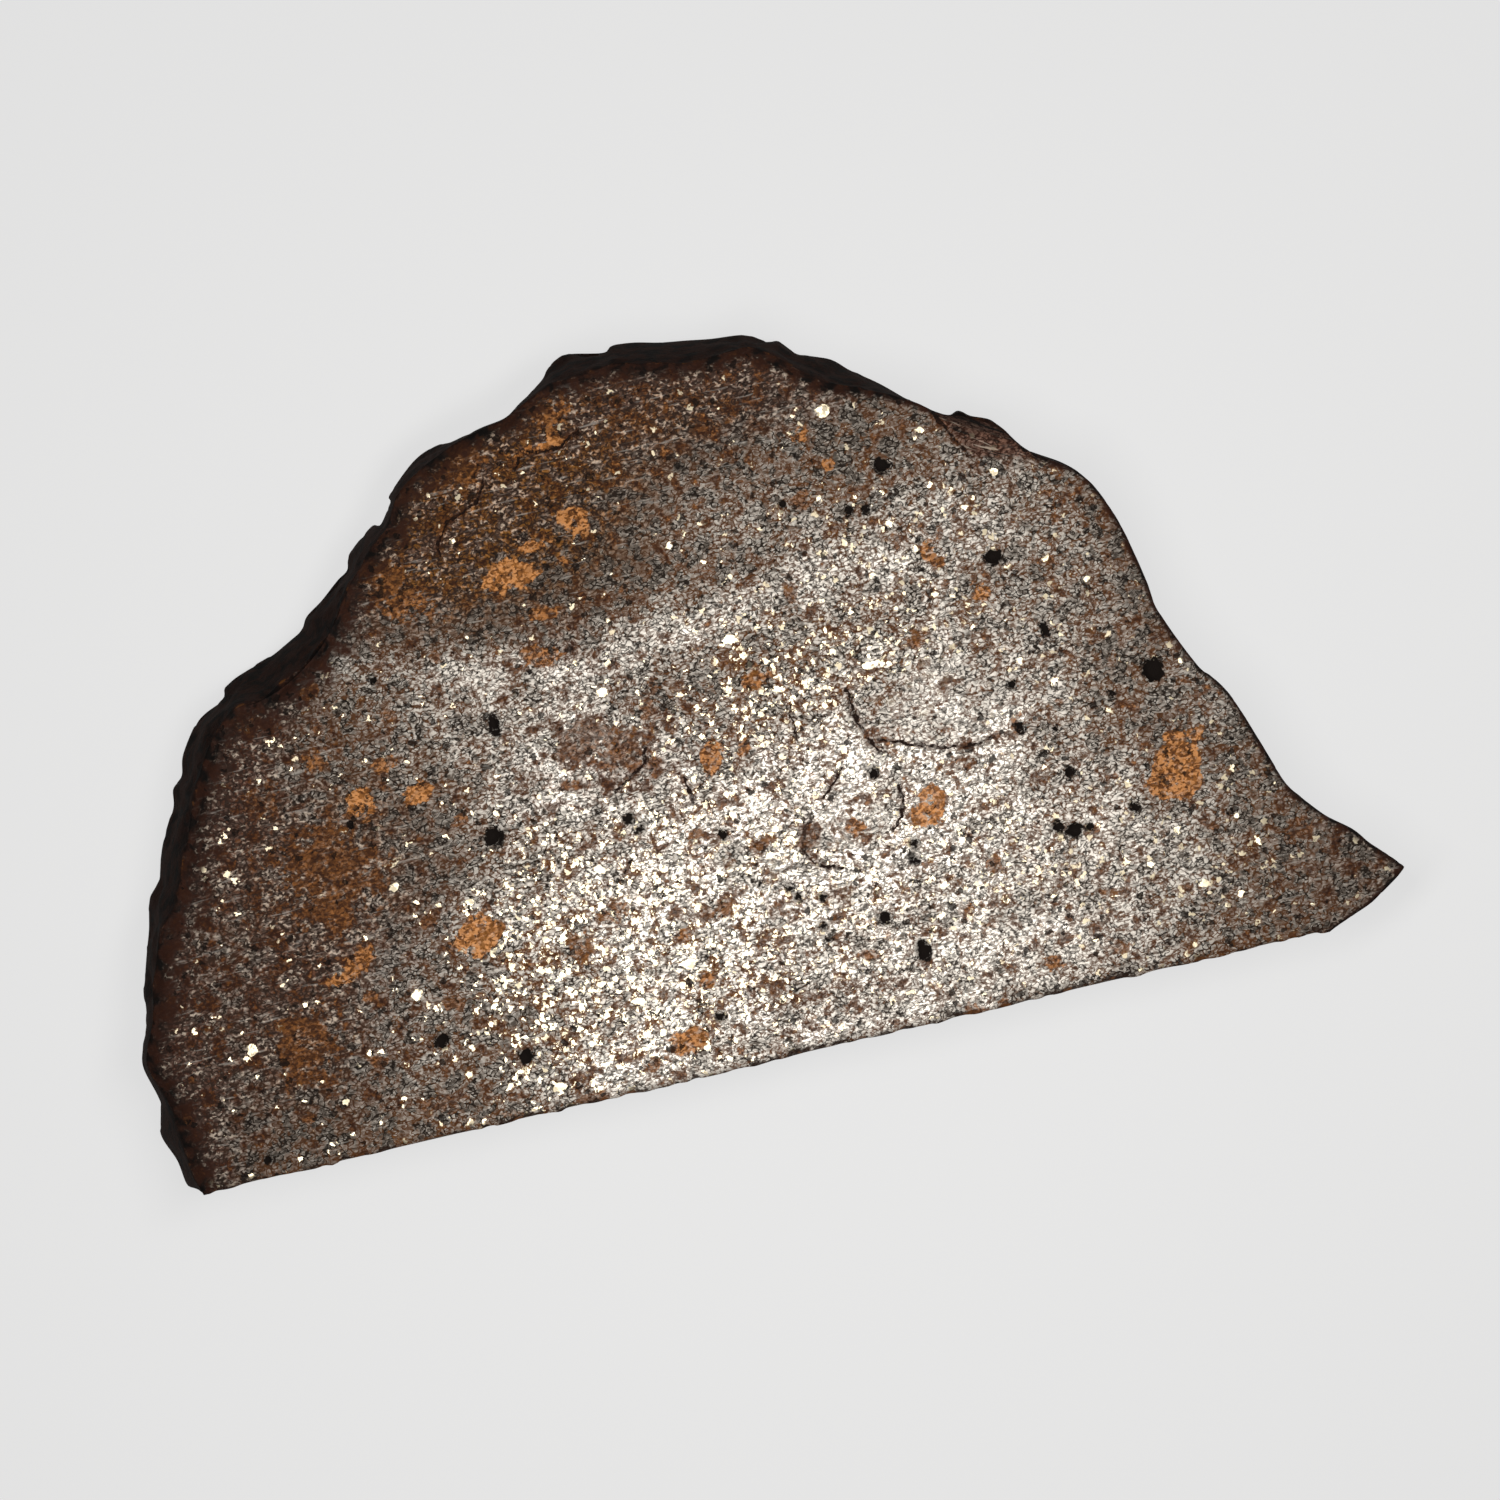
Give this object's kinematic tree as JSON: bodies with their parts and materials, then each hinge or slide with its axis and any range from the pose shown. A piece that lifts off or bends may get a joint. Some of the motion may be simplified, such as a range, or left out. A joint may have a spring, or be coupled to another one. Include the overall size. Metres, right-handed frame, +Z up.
{
  "type": "chondrite meteorite slice",
  "caption": "Flat sawn slice of a stony meteorite with one straight sawn edge, an arched natural rim with dark rind, and a pitted, finely grained cut face.",
  "frame": {"origin": "middle of the bounding box in plan, on the rear saw face that the slice lies on", "axes": "+X along the straight sawn edge, towards the pointed end; +Y across the slice, towards the arched natural rim; +Z up, out of the pitted cut face"},
  "size_m": [0.0638, 0.0368, 0.005],
  "materials": {
    "chondrite": "sawn and lightly rubbed cut faces, satin with bright metal grains; the natural rim is a rough near-black rind"
  },
  "bodies": {
    "root": {"slice": "chondrite"}
  },
  "joints": []
}
